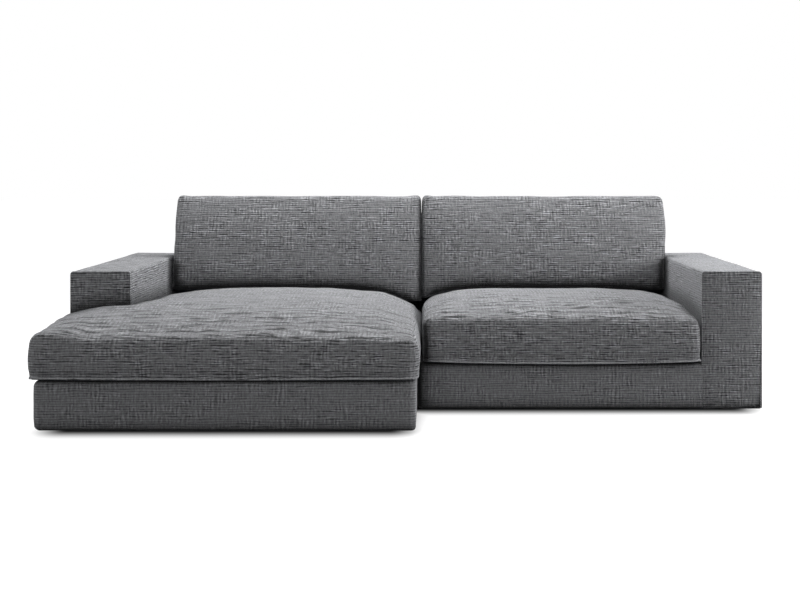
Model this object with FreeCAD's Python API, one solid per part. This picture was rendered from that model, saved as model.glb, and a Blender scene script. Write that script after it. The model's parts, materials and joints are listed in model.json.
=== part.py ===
import FreeCAD, Part
import math
import os
from collections import namedtuple
from FreeCAD import Vector

# Corner sofa of two modules, in millimetres. X runs along the backrest, Y from the front to the back, Z up.
# Both modules are drawn with the joint between them at x = 0, the arm at +x, the arm's front at y = 0
# and the floor at z = 0. The chaise module is then mirrored to the left.

# Overall sizes
seat_width = 1195           # module joint to the arm's inner face, seat module
chaise_width = 1205         # the same on the chaise module
arm_width = 250
module_depth = 1130         # front of the arms to the back
chaise_reach = 420          # chaise in front of the arms
wing_spread = 17            # chaise front box past the arm's outer face
arm_height = 595
foot_height = 20
base_height = 195
back_thickness = 170
module_gap = 0.3            # between the two modules' side covers
soft_gap = 0.3              # between soft pieces of different bodies
press_gap = 0.5             # back cushions over the seats

# Timber and upholstery layers
board = 22                  # rails on edge
plank = 30                  # ribs of the arm and back frames
border_pad = 14             # padded cover on the rails
back_front_pad = 40
top_pad = 20                # padding over the arm and back frames
arm_side_pad = 12
deck_pad = 8
strap_thick = 2
strap_width = 70
strap_pitch = 108
dust_cloth = 1
corner_round = 25           # upright corners of the base cover
arm_outer_round = 45
arm_inner_round = 8
arm_face_round = 8
back_top_round = 20
pocket_max = 260            # widest opening between two ribs
gusset_leg = 190            # plywood gussets in the frame's front corners, which carry the feet
rear_gusset_leg = 90

# Fasteners and feet
bolt_shank = 8
bolt_head = 13              # across the corners of the hexagon
bolt_head_height = 5
bolt_grip = 45              # shank inside the arm frame
bolt_height = 120
bolt_clear = 0.3            # round the shank
foot_side = 40
foot_chamfer = 4
foot_inset = 120            # front feet's centres from the cover's faces, so that none shows
rear_foot_inset = 64
plate = 3                   # module connectors, sheet steel
connector_width = 60
connector_length = 92       # plate under each module
connector_setback = 8       # plate from the module joint
connector_inset = 190       # connector's centre from the front and back faces
claw_drop = 8               # how far the jaws lie below their plate
claw_joggle = 12
claw_tip = 78               # jaws past the module joint
pin_radius = 5
pin_from_joint = 48
pin_head_radius = 9
pin_head = 3
pin_clear = 0.3
claw_flare = 14             # half width of the mouth at the tip

# Seat cushions
cushion_split = 20          # chaise cushion past the module joint
seat_overhang = 24          # cushion front past the base
chaise_overhang = 15
wing_overhang = 19          # chaise cushion past the base's outer side
arm_clear = 3               # cushions from the arms
seat_back_clear = 12        # seat cushions from the backrest
seat_top = 459              # crown above the floor
seat_fall_side = 36         # crown down to a side edge
seat_fall_front = 43        # crown down to the middle of the front edge
chaise_top = 476
chaise_fall_inner = 78      # down to the edge at the module joint
chaise_fall_side = 52       # down to the outer edge
chaise_fall_front = 88
chaise_crown_x = 600        # crown's highest line from the module joint
corner_fall = 12            # front edge down to its corners
cushion_edge = 36           # rounded shoulder
cushion_draw = 6            # front pulled in between its corners
cushion_bulge = 8           # side walls' swell
seat_stations = (0.1, 0.28, 0.5, 0.72, 0.9)     # sections of the crown, as shares of the width
core_inset = 48             # foam block inside the cover
core_lift = 8
core_height = 120

# Rear of the seats, pressed flat under the back cushions
press_setback = 245         # from the backrest to where the crown ends
press_top = 447             # pressed face above the floor there
press_tilt = 11             # degrees, down to the rear, steeper than the crown where they meet

# Back cushions
back_split = 9              # joint between the back cushions from the module joint
back_cushion_gap = 2
back_height = 516           # along the lean
back_lean = 15              # degrees
back_foot_setback = 57      # rear lower edge in front of the backrest
back_foot_drop = 95         # and under the pressed face
back_crown = 223            # greatest thickness over the rear plane
back_fall_side = 22         # crown down to a side edge
back_fall_end = 22          # and to the upper and lower edges
back_taper = 40             # rear plane comes forward at the top
back_belly = 16             # rear swell
back_edge = 30
back_draw = 5
back_bulge = 8
back_stations = (0.12, 0.5, 0.88)
back_core_foot = 95         # fibre bag above the lower edge
back_core_inset = 50
back_core_rear = 52
back_core_front = 150

# Zips of the seat cushions, on their rear borders
zip_length = 900
zip_tape = 30
zip_tape_thick = 1.2
zip_coil = 6
zip_coil_thick = 1.8
zip_height = 60             # tape's middle above the cushion's foot
zip_stop = 8
slider_length = 14
slider_width = 12
slider_wall = 1.2
slider_clear = 0.3
tab_length = 24
tab_width = 7

# Levels and faces that follow from the sizes above
base_bottom = foot_height
base_top = foot_height + base_height
rail_bottom = base_bottom + dust_cloth
rail_top = base_top - deck_pad - strap_thick
back_front = module_depth - back_thickness
joint_face = module_gap / 2
rail_inner = joint_face + border_pad
frame_front = back_front + back_front_pad
cushion_foot = base_top + soft_gap
press_y = back_front - press_setback

Side = namedtuple("Side", "name width front outer")
SEAT = Side("seat", seat_width, 0, seat_width)
CHAISE = Side("chaise", chaise_width, -chaise_reach, chaise_width + arm_width + wing_spread)

nodes = {}


def box(x0, x1, y0, y1, z0, z1):
    return Part.makeBox(x1 - x0, y1 - y0, z1 - z0, Vector(x0, y0, z0))


def keep(side, name, shape):
    """Store a node, with its solids alone, the chaise module's mirrored to the left."""
    if side is CHAISE:
        shape = shape.mirror(Vector(0, 0, 0), Vector(1, 0, 0))
    solids = shape.Solids
    nodes[name] = solids[0] if len(solids) == 1 else Part.makeCompound(solids)


def upright_edges(shape, places):
    """Vertical edges of a prism that stand on the given plan points."""
    def stands(edge, place):
        return all(math.hypot(v.X - place[0], v.Y - place[1]) < 0.01 for v in edge.Vertexes)
    return [e for e in shape.Edges if any(stands(e, p) for p in places)]


# Base: rails, webbing, deck and covers

def base_cover(side):
    """Padded fabric round the rails, cut into panels at its seams."""
    outer = box(joint_face, side.width, side.front, module_depth, base_bottom, base_top)
    corners = [(joint_face, side.front), (joint_face, module_depth)]
    inner_end = side.width + border_pad
    if side is CHAISE:
        wing = box(joint_face, side.outer, side.front, 0, base_bottom, base_top)
        outer = outer.fuse(wing).removeSplitter()
        corners.append((side.outer, side.front))
        inner_end = side.outer - border_pad
    outer = outer.makeFillet(corner_round, upright_edges(outer, corners))
    hollow = box(rail_inner, inner_end, side.front + border_pad, module_depth - border_pad, 0, arm_height)
    ring = outer.cut(hollow)
    seam_front = side.front + corner_round
    seam_back = module_depth - corner_round
    reach = side.outer + border_pad

    def panel(x0, x1, y0, y1):
        return ring.common(box(x0, x1, y0, y1, 0, arm_height))

    keep(side, side.name + "_front_border", panel(-border_pad, reach, side.front, seam_front))
    keep(side, side.name + "_inner_border", panel(-border_pad, rail_inner, seam_front, seam_back))
    keep(side, side.name + "_back_border", panel(-border_pad, reach, seam_back, module_depth))
    if side is CHAISE:
        keep(side, "chaise_wing_border", panel(side.outer - border_pad, reach, seam_front, 0))


def rail(x0, x1, y0, y1):
    return box(x0, x1, y0, y1, rail_bottom, rail_top)


def gusset(x, y, leg_x, leg_y):
    """Three-cornered plywood piece glued in the corner of two rails, its legs along X and Y."""
    points = [Vector(x, y, rail_bottom), Vector(x + leg_x, y, rail_bottom),
              Vector(x, y + leg_y, rail_bottom), Vector(x, y, rail_bottom)]
    return Part.Face(Part.makePolygon(points)).extrude(Vector(0, 0, board))


def rails(side):
    front = side.front + border_pad
    back = module_depth - border_pad
    inner = rail_inner + board
    outer = side.width - board
    front_end = side.width if side is SEAT else side.outer - border_pad
    keep(side, side.name + "_front_rail", rail(rail_inner, front_end, front, front + board))
    keep(side, side.name + "_back_rail", rail(rail_inner, side.width, back - board, back))
    keep(side, side.name + "_inner_rail", rail(rail_inner, inner, front + board, back - board))
    outer_rail = rail(outer, side.width, front + board, back - board)
    for y in bolt_places():
        outer_rail = outer_rail.cut(bolt_hole(side, y))
    keep(side, side.name + "_outer_rail", outer_rail)
    keep(side, side.name + "_webbing_rail", rail(inner, outer, frame_front - board, frame_front))
    front_corner = outer if side is SEAT else front_end - board
    gussets = [gusset(inner, front + board, gusset_leg, gusset_leg),
               gusset(front_corner, front + board, -gusset_leg, gusset_leg),
               gusset(inner, back - board, rear_gusset_leg, -rear_gusset_leg),
               gusset(outer, back - board, -rear_gusset_leg, -rear_gusset_leg)]
    keep(side, side.name + "_corner_blocks", Part.makeCompound(gussets))
    if side is CHAISE:
        wing_rail = rail(front_end - board, front_end, front + board, -board)
        keep(side, "chaise_wing_rail", wing_rail)
        keep(side, "chaise_shoulder_rail", rail(side.width, front_end, -board, 0))


def straps(x0, x1, y0, y1):
    """Elastic webbing in parallel belts across a bay of the frame."""
    count = max(2, int((x1 - x0) // strap_pitch))
    pitch = (x1 - x0) / count
    starts = [x0 + pitch * (i + 0.5) - strap_width / 2 for i in range(count)]
    return [box(x, x + strap_width, y0, y1, rail_top, rail_top + strap_thick) for x in starts]


def deck(side):
    """Webbing, the padded platform cloth over it and the dust cloth under the rails."""
    front = side.front + border_pad
    bay = straps(rail_inner + board, side.width - board, front, frame_front)
    low, high = rail_top + strap_thick, base_top
    keep(side, side.name + "_deck", box(rail_inner, side.width, front, frame_front, low, high))
    cloth_end = module_depth - border_pad
    cloth = box(rail_inner, side.width, front, cloth_end, base_bottom, rail_bottom)
    keep(side, side.name + "_dust_cloth", cloth)
    if side is CHAISE:
        wing_end = side.outer - border_pad
        bay += straps(side.width, wing_end - board, front, 0)
        keep(side, "chaise_wing_deck", box(side.width, wing_end, front, 0, low, high))
        keep(side, "chaise_wing_dust_cloth", box(side.width, wing_end, front, 0, base_bottom, rail_bottom))
    keep(side, side.name + "_webbing", Part.makeCompound(bay))


def feet(side):
    """Square black feet with chamfered lower edges under the corners of the frame."""
    outer = side.width + arm_width
    front_end = outer if side is SEAT else side.outer
    front_y = side.front + foot_inset
    back_y = module_depth - rear_foot_inset
    places = [(joint_face + foot_inset, front_y), (front_end - foot_inset, front_y),
              (joint_face + rear_foot_inset, back_y), (outer - rear_foot_inset, back_y)]
    half = foot_side / 2
    blocks = []
    for x, y in places:
        block = box(x - half, x + half, y - half, y + half, 0, foot_height)
        rim = [e for e in block.Edges if e.CenterOfMass.z < foot_chamfer]
        blocks.append(block.makeChamfer(foot_chamfer, rim))
    keep(side, side.name + "_feet", Part.makeCompound(blocks))


# Arms and backrest

def ribs_between(low, high):
    """Start of each opening between the ribs of a frame, and its width, none above pocket_max."""
    count = math.ceil((high - low - plank) / (pocket_max + plank))
    width = (high - low - plank * (count + 1)) / count
    return [low + plank + i * (width + plank) for i in range(count)], width


def bolt_places():
    """The arm's bolts go into its first and last inner ribs."""
    starts, width = ribs_between(border_pad, module_depth - border_pad)
    return [starts[0] + width + plank / 2, starts[-1] - plank / 2]


def bolt_hole(side, y):
    start = Vector(side.width - board, y, bolt_height)
    length = board + arm_side_pad + bolt_grip + bolt_clear
    return Part.makeCylinder(bolt_shank / 2 + bolt_clear, length, start, Vector(1, 0, 0))


def arm(side):
    x0, x1 = side.width, side.width + arm_width
    low, top = base_bottom, arm_height
    ri, ro = arm_inner_round, arm_outer_round
    half = math.sqrt(0.5)
    places = [(x0, low), (x0, top - ri), (x0 + ri, top), (x1 - ro, top), (x1, top - ro), (x1, low)]
    p = [Vector(x, 0, z) for x, z in places]
    inner_mid = Vector(x0 + ri * (1 - half), 0, top - ri * (1 - half))
    outer_mid = Vector(x1 - ro * (1 - half), 0, top - ro * (1 - half))
    outline = [Part.makeLine(p[0], p[1]), Part.Arc(p[1], inner_mid, p[2]).toShape(),
               Part.makeLine(p[2], p[3]), Part.Arc(p[3], outer_mid, p[4]).toShape(),
               Part.makeLine(p[4], p[5]), Part.makeLine(p[5], p[0])]
    cover = Part.Face(Part.Wire(outline)).extrude(Vector(0, module_depth, 0))
    ends = [e for e in cover.Edges if e.BoundBox.YLength < 0.01 and e.CenterOfMass.z > low + foot_height]
    cover = cover.makeFillet(arm_face_round, ends)
    fx0, fx1 = x0 + arm_side_pad, x1 - arm_side_pad
    fy0, fy1 = border_pad, module_depth - border_pad
    frame = box(fx0, fx1, fy0, fy1, low, top - top_pad)
    cover = cover.cut(frame)
    y_starts, y_width = ribs_between(fy0, fy1)
    z_starts, z_width = ribs_between(low, top - top_pad)
    for y in y_starts:
        for z in z_starts:
            frame = frame.cut(box(fx0, fx1, y, y + y_width, z, z + z_width))
    bolts = []
    for y in bolt_places():
        frame = frame.cut(bolt_hole(side, y))
        cover = cover.cut(bolt_hole(side, y))
        seat = Vector(side.width - board, y, bolt_height)
        shank = Part.makeCylinder(bolt_shank / 2, board + arm_side_pad + bolt_grip, seat, Vector(1, 0, 0))
        turns = [math.radians(60 * k) for k in range(7)]
        hexagon = [seat + Vector(0, math.cos(a), math.sin(a)) * (bolt_head / 2) for a in turns]
        head = Part.Face(Part.makePolygon(hexagon)).extrude(Vector(-bolt_head_height, 0, 0))
        bolts.append(shank.fuse(head).removeSplitter())
    keep(side, side.name + "_arm_cover", cover)
    keep(side, side.name + "_arm_frame", frame)
    keep(side, side.name + "_arm_bolts", Part.makeCompound(bolts))


def backrest(side):
    """Ribbed frame on the base's rails, and its padded cover on the base's cover."""
    x0, x1 = rail_inner, side.width - border_pad
    back = module_depth - border_pad
    frame = box(x0, x1, frame_front, back, rail_top, arm_height - top_pad)
    block = box(joint_face, side.width, back_front, module_depth, base_top, arm_height)
    ridges = [e for e in block.Edges
              if e.BoundBox.XLength > back_top_round and e.CenterOfMass.z > arm_height - top_pad]
    keep(side, side.name + "_back_cover", block.makeFillet(back_top_round, ridges).cut(frame))
    x_starts, width = ribs_between(x0, x1)
    low, high = rail_top + plank, arm_height - top_pad - plank
    for x in x_starts:
        frame = frame.cut(box(x, x + width, frame_front, back, low, high))
    keep(side, side.name + "_back_frame", frame)


# Module connectors: jaws under the chaise module grip round pins under the seat module

def connector_places():
    return [connector_inset, module_depth - connector_inset]


def claws():
    """A cranked plate whose open mouth slides over the pin from the side."""
    low, high = base_bottom - plate, base_bottom
    crank = -connector_setback
    jaw = crank - claw_joggle
    plate_end = connector_length + connector_setback
    profile = [(plate_end, high), (crank, high), (jaw, high - claw_drop), (-claw_tip, high - claw_drop),
               (-claw_tip, low - claw_drop), (jaw, low - claw_drop), (crank, low), (plate_end, low)]
    mouth = pin_radius + pin_clear
    parts = []
    for y in connector_places():
        y0 = y - connector_width / 2
        corners = [Vector(x, y0, z) for x, z in profile]
        blank = Part.Face(Part.makePolygon(corners + corners[:1])).extrude(Vector(0, connector_width, 0))
        bottom = low - 2 * claw_drop
        slot = [(-pin_from_joint, y - mouth), (-pin_from_joint, y + mouth),
                (mouth * 2 - claw_tip, y + mouth), (-claw_tip, y + claw_flare),
                (-claw_tip - plate, y + claw_flare), (-claw_tip - plate, y - claw_flare),
                (-claw_tip, y - claw_flare), (mouth * 2 - claw_tip, y - mouth)]
        slot = [Vector(x, v, bottom) for x, v in slot]
        slot = Part.Face(Part.makePolygon(slot + slot[:1])).extrude(Vector(0, 0, 2 * claw_drop + plate))
        bore = Part.makeCylinder(mouth, 2 * claw_drop + plate, Vector(-pin_from_joint, y, bottom))
        parts.append(blank.cut(slot).cut(bore))
    keep(CHAISE, "connector_claws", Part.makeCompound(parts))


def pins():
    """A plate with a headed round pin that hangs through the jaws."""
    jaw_bottom = base_bottom - plate - claw_drop
    parts = []
    for y in connector_places():
        flat = box(pin_from_joint - pin_head_radius, pin_from_joint + connector_length,
                   y - connector_width / 2, y + connector_width / 2, base_bottom - plate, base_bottom)
        stem_foot = jaw_bottom - pin_clear
        stem = Part.makeCylinder(pin_radius, base_bottom - stem_foot, Vector(pin_from_joint, y, stem_foot))
        head = Part.makeCylinder(pin_head_radius, pin_head, Vector(pin_from_joint, y, stem_foot - pin_head))
        parts.append(flat.fuse([stem, head]).removeSplitter())
    keep(SEAT, "connector_pins", Part.makeCompound(parts))


# Cushions

Form = namedtuple("Form", "x0 x1 y0 y1 foot top crown_x fall_inner fall_side corner_fall fall_front "
                          "edge draw bulge stations pressed fall_back draw_back bulge_back taper belly",
                  defaults=(False, 0, 0, 0, 0, 0))


def bent(start, end, side, swell):
    """An edge that swells to one side, or a straight one."""
    if swell == 0:
        return Part.makeLine(start, end)
    return Part.Arc(start, (start + end) * 0.5 + side * swell, end).toShape()


def cushion_section(form, x, drop):
    """Closed outline across a cushion at x, drawn in by drop near the ends."""
    between = 1 - ((2 * x - form.x0 - form.x1) / (form.x1 - form.x0)) ** 2
    y0 = form.y0 + drop + form.draw * between
    y1 = form.y1 - drop - form.draw_back * between
    edge = form.edge
    inner = x < form.crown_x
    end = form.x0 if inner else form.x1
    sideways = ((x - form.crown_x) / (end - form.crown_x)) ** 4
    fall = drop + (form.fall_inner if inner else form.fall_side) * sideways
    crown = form.top - fall

    front_level = form.top - form.fall_front - drop - form.corner_fall * sideways
    front_axis = Vector(x, y0 + edge, front_level - edge)
    back_axis = Vector(x, y1 - edge, crown - form.fall_back - edge)
    tilt = 0
    if form.pressed:
        tilt = math.radians(press_tilt)
        reach = back_axis.y + edge * math.sin(tilt) - press_y
        back_axis.z = press_top - fall - reach * math.tan(tilt) - edge * math.cos(tilt)

    def shoulder(axis, angle):
        """Point on a rounded shoulder, its angle turned from straight up to the rear."""
        return axis + Vector(0, math.sin(angle), math.cos(angle)) * edge

    quarter = math.pi / 2
    front_wall, front_top = shoulder(front_axis, -quarter), shoulder(front_axis, 0)
    back_wall, back_top = shoulder(back_axis, quarter), shoulder(back_axis, tilt)
    crown_end = Vector(x, press_y, press_top - fall) if form.pressed else back_top
    crown_mid = Vector(x, (crown_end.y + front_top.y) / 2, crown)
    front_foot, back_foot = Vector(x, y0, form.foot), Vector(x, y1, form.foot + form.taper)

    edges = [bent(front_foot, back_foot, Vector(0, 0, -1), form.belly * between),
             bent(back_foot, back_wall, Vector(0, 1, 0), form.bulge_back),
             Part.Arc(back_wall, shoulder(back_axis, (quarter + tilt) / 2), back_top).toShape()]
    if form.pressed:
        edges.append(Part.makeLine(back_top, crown_end))
    edges += [Part.Arc(crown_end, crown_mid, front_top).toShape(),
              Part.Arc(front_top, shoulder(front_axis, -quarter / 2), front_wall).toShape(),
              bent(front_wall, front_foot, Vector(0, -1, 0), form.bulge)]
    return Part.Wire(edges)


def crowned(form):
    """Boxed cushion with a crown: a loft through sections along x, with rounded ends."""
    turns = [math.radians(90 * k / 3) for k in range(4)]
    ends = [(form.edge * (1 - math.cos(a)), form.edge * (1 - math.sin(a))) for a in turns]
    span = form.x1 - form.x0 - 2 * form.edge
    inner = [form.x0 + form.edge + span * share for share in form.stations]
    stations = [(form.x0 + s, d) for s, d in ends] + [(x, 0) for x in inner]
    stations += [(form.x1 - s, d) for s, d in reversed(ends)]
    return Part.makeLoft([cushion_section(form, x, d) for x, d in stations], True, True)


def seat_form(side):
    """Sizes of a module's seat cushion."""
    back = back_front - seat_back_clear
    if side is SEAT:
        x0, x1 = cushion_split + soft_gap, side.width - arm_clear
        return Form(x0, x1, -seat_overhang, back, cushion_foot, seat_top, (x0 + x1) / 2,
                    seat_fall_side, seat_fall_side, corner_fall, seat_fall_front, cushion_edge,
                    cushion_draw, cushion_bulge, seat_stations, pressed=True)
    x0, x1 = -cushion_split, side.outer + wing_overhang
    front = side.front - chaise_overhang
    return Form(x0, x1, front, back, cushion_foot, chaise_top, chaise_crown_x,
                chaise_fall_inner, chaise_fall_side, corner_fall, chaise_fall_front, cushion_edge,
                cushion_draw, cushion_bulge, seat_stations, pressed=True)


def arm_notch(side):
    """Space that the chaise cushion leaves for the arm beside it."""
    form = seat_form(side)
    x0, y0 = side.width - arm_clear, -arm_clear
    notch = box(x0, form.x1 + border_pad, y0, module_depth, 0, arm_height)
    return notch.makeFillet(arm_face_round, upright_edges(notch, [(x0, y0)]))


def foam(form, x0, x1, y0, y1):
    low = form.foot + core_lift
    block = box(x0 + core_inset, x1 - core_inset, y0 + core_inset, y1 - core_inset, low, low + core_height)
    corners = [(x, y) for x in (x0 + core_inset, x1 - core_inset) for y in (y0 + core_inset, y1 - core_inset)]
    return block.makeFillet(cushion_edge, upright_edges(block, corners))


def seat_cushion(side):
    form = seat_form(side)
    cushion = crowned(form)
    core_x1 = form.x1
    if side is CHAISE:
        cushion = cushion.cut(arm_notch(side))
        core_x1 = side.width - arm_clear
    core = foam(form, form.x0, core_x1, form.y0, form.y1)
    cover = cushion.cut(core)
    keep(side, side.name + "_cushion_core", core)
    if side is CHAISE:
        wing_core = foam(form, side.width - core_inset, form.x1, form.y0, -arm_clear)
        cover = cover.cut(wing_core)
        keep(side, "chaise_wing_core", wing_core)
    keep(side, side.name + "_cushion_cover", cover)
    zip_fastener(side, (form.x0 + core_x1) / 2, form.y1)


def zip_fastener(side, x, y):
    """Tape with its coil on the cushion's rear border, and the slider at the coil's end."""
    z = cushion_foot + zip_height
    x0, x1 = x - zip_length / 2, x + zip_length / 2
    face = y + zip_tape_thick
    crest = face + zip_coil_thick
    tape = box(x0, x1, y, face, z - zip_tape / 2, z + zip_tape / 2)
    coil = box(x0 + zip_stop, x1 - zip_stop, face, crest, z - zip_coil / 2, z + zip_coil / 2)
    stops = [box(a, a + zip_stop, face, crest + slider_wall, z - zip_coil, z + zip_coil)
             for a in (x0, x1 - zip_stop)]
    keep(side, side.name + "_zip", tape.fuse([coil] + stops).removeSplitter())
    s0 = x0 + zip_stop + slider_clear
    s1 = s0 + slider_length
    body = box(s0, s1, face + slider_clear, crest + slider_clear + slider_wall,
               z - slider_width / 2, z + slider_width / 2)
    half = zip_coil / 2 + slider_clear
    channel = box(s0, s1, y, crest + slider_clear, z - half, z + half)
    outer = crest + slider_clear + slider_wall
    tab = box(s0 + slider_wall, s0 + slider_wall + tab_length, outer, outer + slider_wall,
              z - tab_width / 2, z + tab_width / 2)
    tab = tab.makeFillet(tab_width / 2 - slider_wall / 2,
                         [e for e in tab.Edges if e.BoundBox.YLength > slider_wall / 2])
    keep(side, side.name + "_zip_slider", body.cut(channel).fuse(tab).removeSplitter())


def lean_back(shape):
    """Stand a cushion that was drawn lying on its rear face up against the backrest."""
    shape.rotate(Vector(0, 0, 0), Vector(1, 0, 0), 90 - back_lean)
    shape.translate(Vector(0, back_front - back_foot_setback, press_top - back_foot_drop))
    return shape


def pressed_space():
    """Everything under the plane where the back cushions stand on the seats, a little above the crowns."""
    reach = seat_width + chaise_width
    block = box(-reach, reach, -reach, reach, -press_top, 0)
    block.rotate(Vector(0, 0, 0), Vector(1, 0, 0), -press_tilt)
    block.translate(Vector(0, press_y, press_top + press_gap))
    return block


def back_cushion(side):
    """Leaning cushion, pressed flat where the backrest and the seat carry it."""
    split = -back_split if side is CHAISE else back_split
    x0, x1 = split + back_cushion_gap / 2, side.width - arm_clear
    form = Form(x0, x1, 0, back_height, 0, back_crown, (x0 + x1) / 2, back_fall_side,
                back_fall_side, back_fall_side, back_fall_end, back_edge, back_draw, back_bulge,
                back_stations, False, back_fall_end, back_draw, back_bulge, back_taper, back_belly)
    cushion = lean_back(crowned(form))
    rest = box(-arm_width, side.outer, back_front - soft_gap, module_depth, 0, arm_height + soft_gap)
    cushion = cushion.cut(rest).cut(pressed_space())
    core = box(x0 + back_core_inset, x1 - back_core_inset, back_core_foot, back_height - back_core_inset,
               back_core_rear, back_core_front)
    core = lean_back(core.makeFillet(back_edge, [e for e in core.Edges if e.BoundBox.ZLength > back_edge]))
    keep(side, side.name + "_back_cushion_core", core)
    keep(side, side.name + "_back_cushion_cover", cushion.cut(core))


def settle_origin():
    """Move all nodes so that the origin is on the floor, under the middle of the whole sofa."""
    bounds = [shape.optimalBoundingBox() for shape in nodes.values()]
    x = (min(b.XMin for b in bounds) + max(b.XMax for b in bounds)) / 2
    y = (min(b.YMin for b in bounds) + max(b.YMax for b in bounds)) / 2
    print("design origin lies at", round(-x, 3), round(-y, 3))
    for shape in nodes.values():
        shape.translate(Vector(-x, -y, 0))


for module in (CHAISE, SEAT):
    base_cover(module)
    rails(module)
    deck(module)
    feet(module)
    arm(module)
    backrest(module)
    seat_cushion(module)
    back_cushion(module)
claws()
pins()
settle_origin()

os.makedirs("parts", exist_ok=True)
for node, shape in nodes.items():
    shape.exportStep("parts/" + node + ".step")
print(len(nodes), "nodes")
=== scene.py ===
import json
import math

import bmesh
import bpy
import numpy as np
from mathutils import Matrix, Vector, noise
from mathutils.bvhtree import BVHTree

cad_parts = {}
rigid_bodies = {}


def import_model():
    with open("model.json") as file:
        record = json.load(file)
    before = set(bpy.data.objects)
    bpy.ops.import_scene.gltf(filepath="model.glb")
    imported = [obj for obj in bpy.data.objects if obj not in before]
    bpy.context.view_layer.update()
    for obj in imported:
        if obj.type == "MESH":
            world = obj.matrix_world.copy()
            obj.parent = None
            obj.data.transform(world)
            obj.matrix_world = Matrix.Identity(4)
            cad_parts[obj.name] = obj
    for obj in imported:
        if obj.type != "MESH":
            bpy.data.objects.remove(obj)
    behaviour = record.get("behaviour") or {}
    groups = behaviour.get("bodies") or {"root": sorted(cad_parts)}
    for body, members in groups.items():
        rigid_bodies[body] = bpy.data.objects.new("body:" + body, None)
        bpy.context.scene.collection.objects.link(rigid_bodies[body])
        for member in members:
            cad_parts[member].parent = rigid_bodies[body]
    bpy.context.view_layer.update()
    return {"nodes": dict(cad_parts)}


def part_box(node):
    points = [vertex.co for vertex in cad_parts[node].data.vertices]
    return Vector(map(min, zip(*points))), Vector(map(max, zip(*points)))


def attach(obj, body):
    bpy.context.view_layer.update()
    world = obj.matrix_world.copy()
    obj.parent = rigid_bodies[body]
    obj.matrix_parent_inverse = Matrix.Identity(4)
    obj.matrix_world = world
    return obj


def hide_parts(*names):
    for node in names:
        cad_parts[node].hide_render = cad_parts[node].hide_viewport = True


# Corner sofa: a chaise module on the left and a seat module on the right, in grey slubby chenille.
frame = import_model()

# All sizes are in metres.
ARM_FRONT = -0.343779     # front face of both arms
ARM_WIDE = 0.25           # an arm's width, and a little more
ARM_CORNER = 0.013        # round of an arm's outer top edge
ARM_INNER = 0.010         # round of its inner top edge
ARM_WELT = 0.0020         # half the thickness of the sewn edge round an arm's front
SEAM_WELT = 0.0046        # half the thickness of a cushion's sewn lower edge
SHOULDER = 0.066          # round of a seat cushion's front upper edge
SHOULDER_FOOT = 0.134     # height on the cushion at which that round begins
REAR_ROUND = 0.045        # soft rear edge on top of an arm or a backrest
CUSHION_JOINT = 0.032     # where the two back cushions meet
ROW_PITCH = 0.0097        # level rows of the weave
THREAD_PITCH = 0.0165     # upright threads of the weave
GATHER_PITCH = 0.040      # gathers of a slack cover
CUSHION_PITCH = 0.012     # squares of a cushion's cover
WALL_PITCH = 0.03         # squares of an arm's cover or a base's
SHEET_PITCH = 0.04        # squares of a platform or a backrest's cover
WELT_PITCH = 0.012        # steps along a cushion's sewn edge
WELT_TURN = 0.02          # round of its corners
WELT_SINK = 0.0004        # how far it is sunk into the cover
CLOTH_STEPS = 20          # frames that a filled cover takes to settle
X, Y, Z = range(3)

for node in frame["nodes"].values():
    node.select_set(False)


# Bench tools

def mode(kind):
    bpy.ops.object.mode_set(mode=kind)


def put_down():
    """Leave edit mode and let go of every object."""
    if bpy.context.object and bpy.context.object.mode != "OBJECT":
        mode("OBJECT")
    bpy.ops.object.select_all(action="DESELECT")


def take(piece):
    """Make a piece the only one selected."""
    put_down()
    piece.select_set(True)
    bpy.context.view_layer.objects.active = piece


def at(a, b):
    """Whether two places are the same, to a millimetre."""
    return abs(a - b) < 0.001


def runs(way, axis):
    """Whether an edge or a normal lies along an axis."""
    return abs(way[axis]) > 0.9


def grow(distance, reach):
    """0 at no distance or less, rising to 1 at reach."""
    return np.clip(distance / reach, 0, 1)


def fade(distance, reach):
    """1 at no distance or less, falling to 0 at reach."""
    return np.clip(1 - distance / reach, 0, 1)


def quarter_round(share):
    """How far a round of radius 1 has turned in, at a share of its height."""
    return 1 - np.sqrt(1 - share ** 2)


def set_all(thing, **values):
    for key, value in values.items():
        setattr(thing, key, value)


def sized(name, size):
    """Name the piece just made, and put its place and size into its mesh."""
    piece = bpy.context.object
    piece.name = name
    piece.data.name = name
    piece.scale = size
    bpy.ops.object.transform_apply(location=True, rotation=True, scale=True)
    return piece


def block(name, low, high):
    """Box between two corners."""
    put_down()
    bpy.ops.mesh.primitive_cube_add(size=1, location=[(a + b) / 2 for a, b in zip(low, high)])
    return sized(name, [b - a for a, b in zip(low, high)])


def pick(piece, kind, test):
    """In edit mode, select the edges or faces whose middle and direction pass the test."""
    bpy.ops.mesh.select_mode(type=kind)
    bpy.ops.mesh.select_all(action="DESELECT")
    mesh = bmesh.from_edit_mesh(piece.data)
    mesh.normal_update()
    count = 0
    for part in mesh.edges if kind == "EDGE" else mesh.faces:
        if kind == "EDGE":
            a, b = part.verts
            chosen = test((a.co + b.co) / 2, (b.co - a.co).normalized())
        else:
            chosen = test(part.calc_center_median(), part.normal)
        if chosen:
            part.select_set(True)
            count += 1
    mesh.select_flush_mode()
    bmesh.update_edit_mesh(piece.data)
    return count


def round_edges(piece, radius, segments, test):
    """Round the edges that pass the test."""
    take(piece)
    mode("EDIT")
    if pick(piece, "EDGE", test):
        bpy.ops.mesh.bevel(offset=radius, segments=segments, affect="EDGES", profile=0.5)
    mode("OBJECT")


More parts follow.
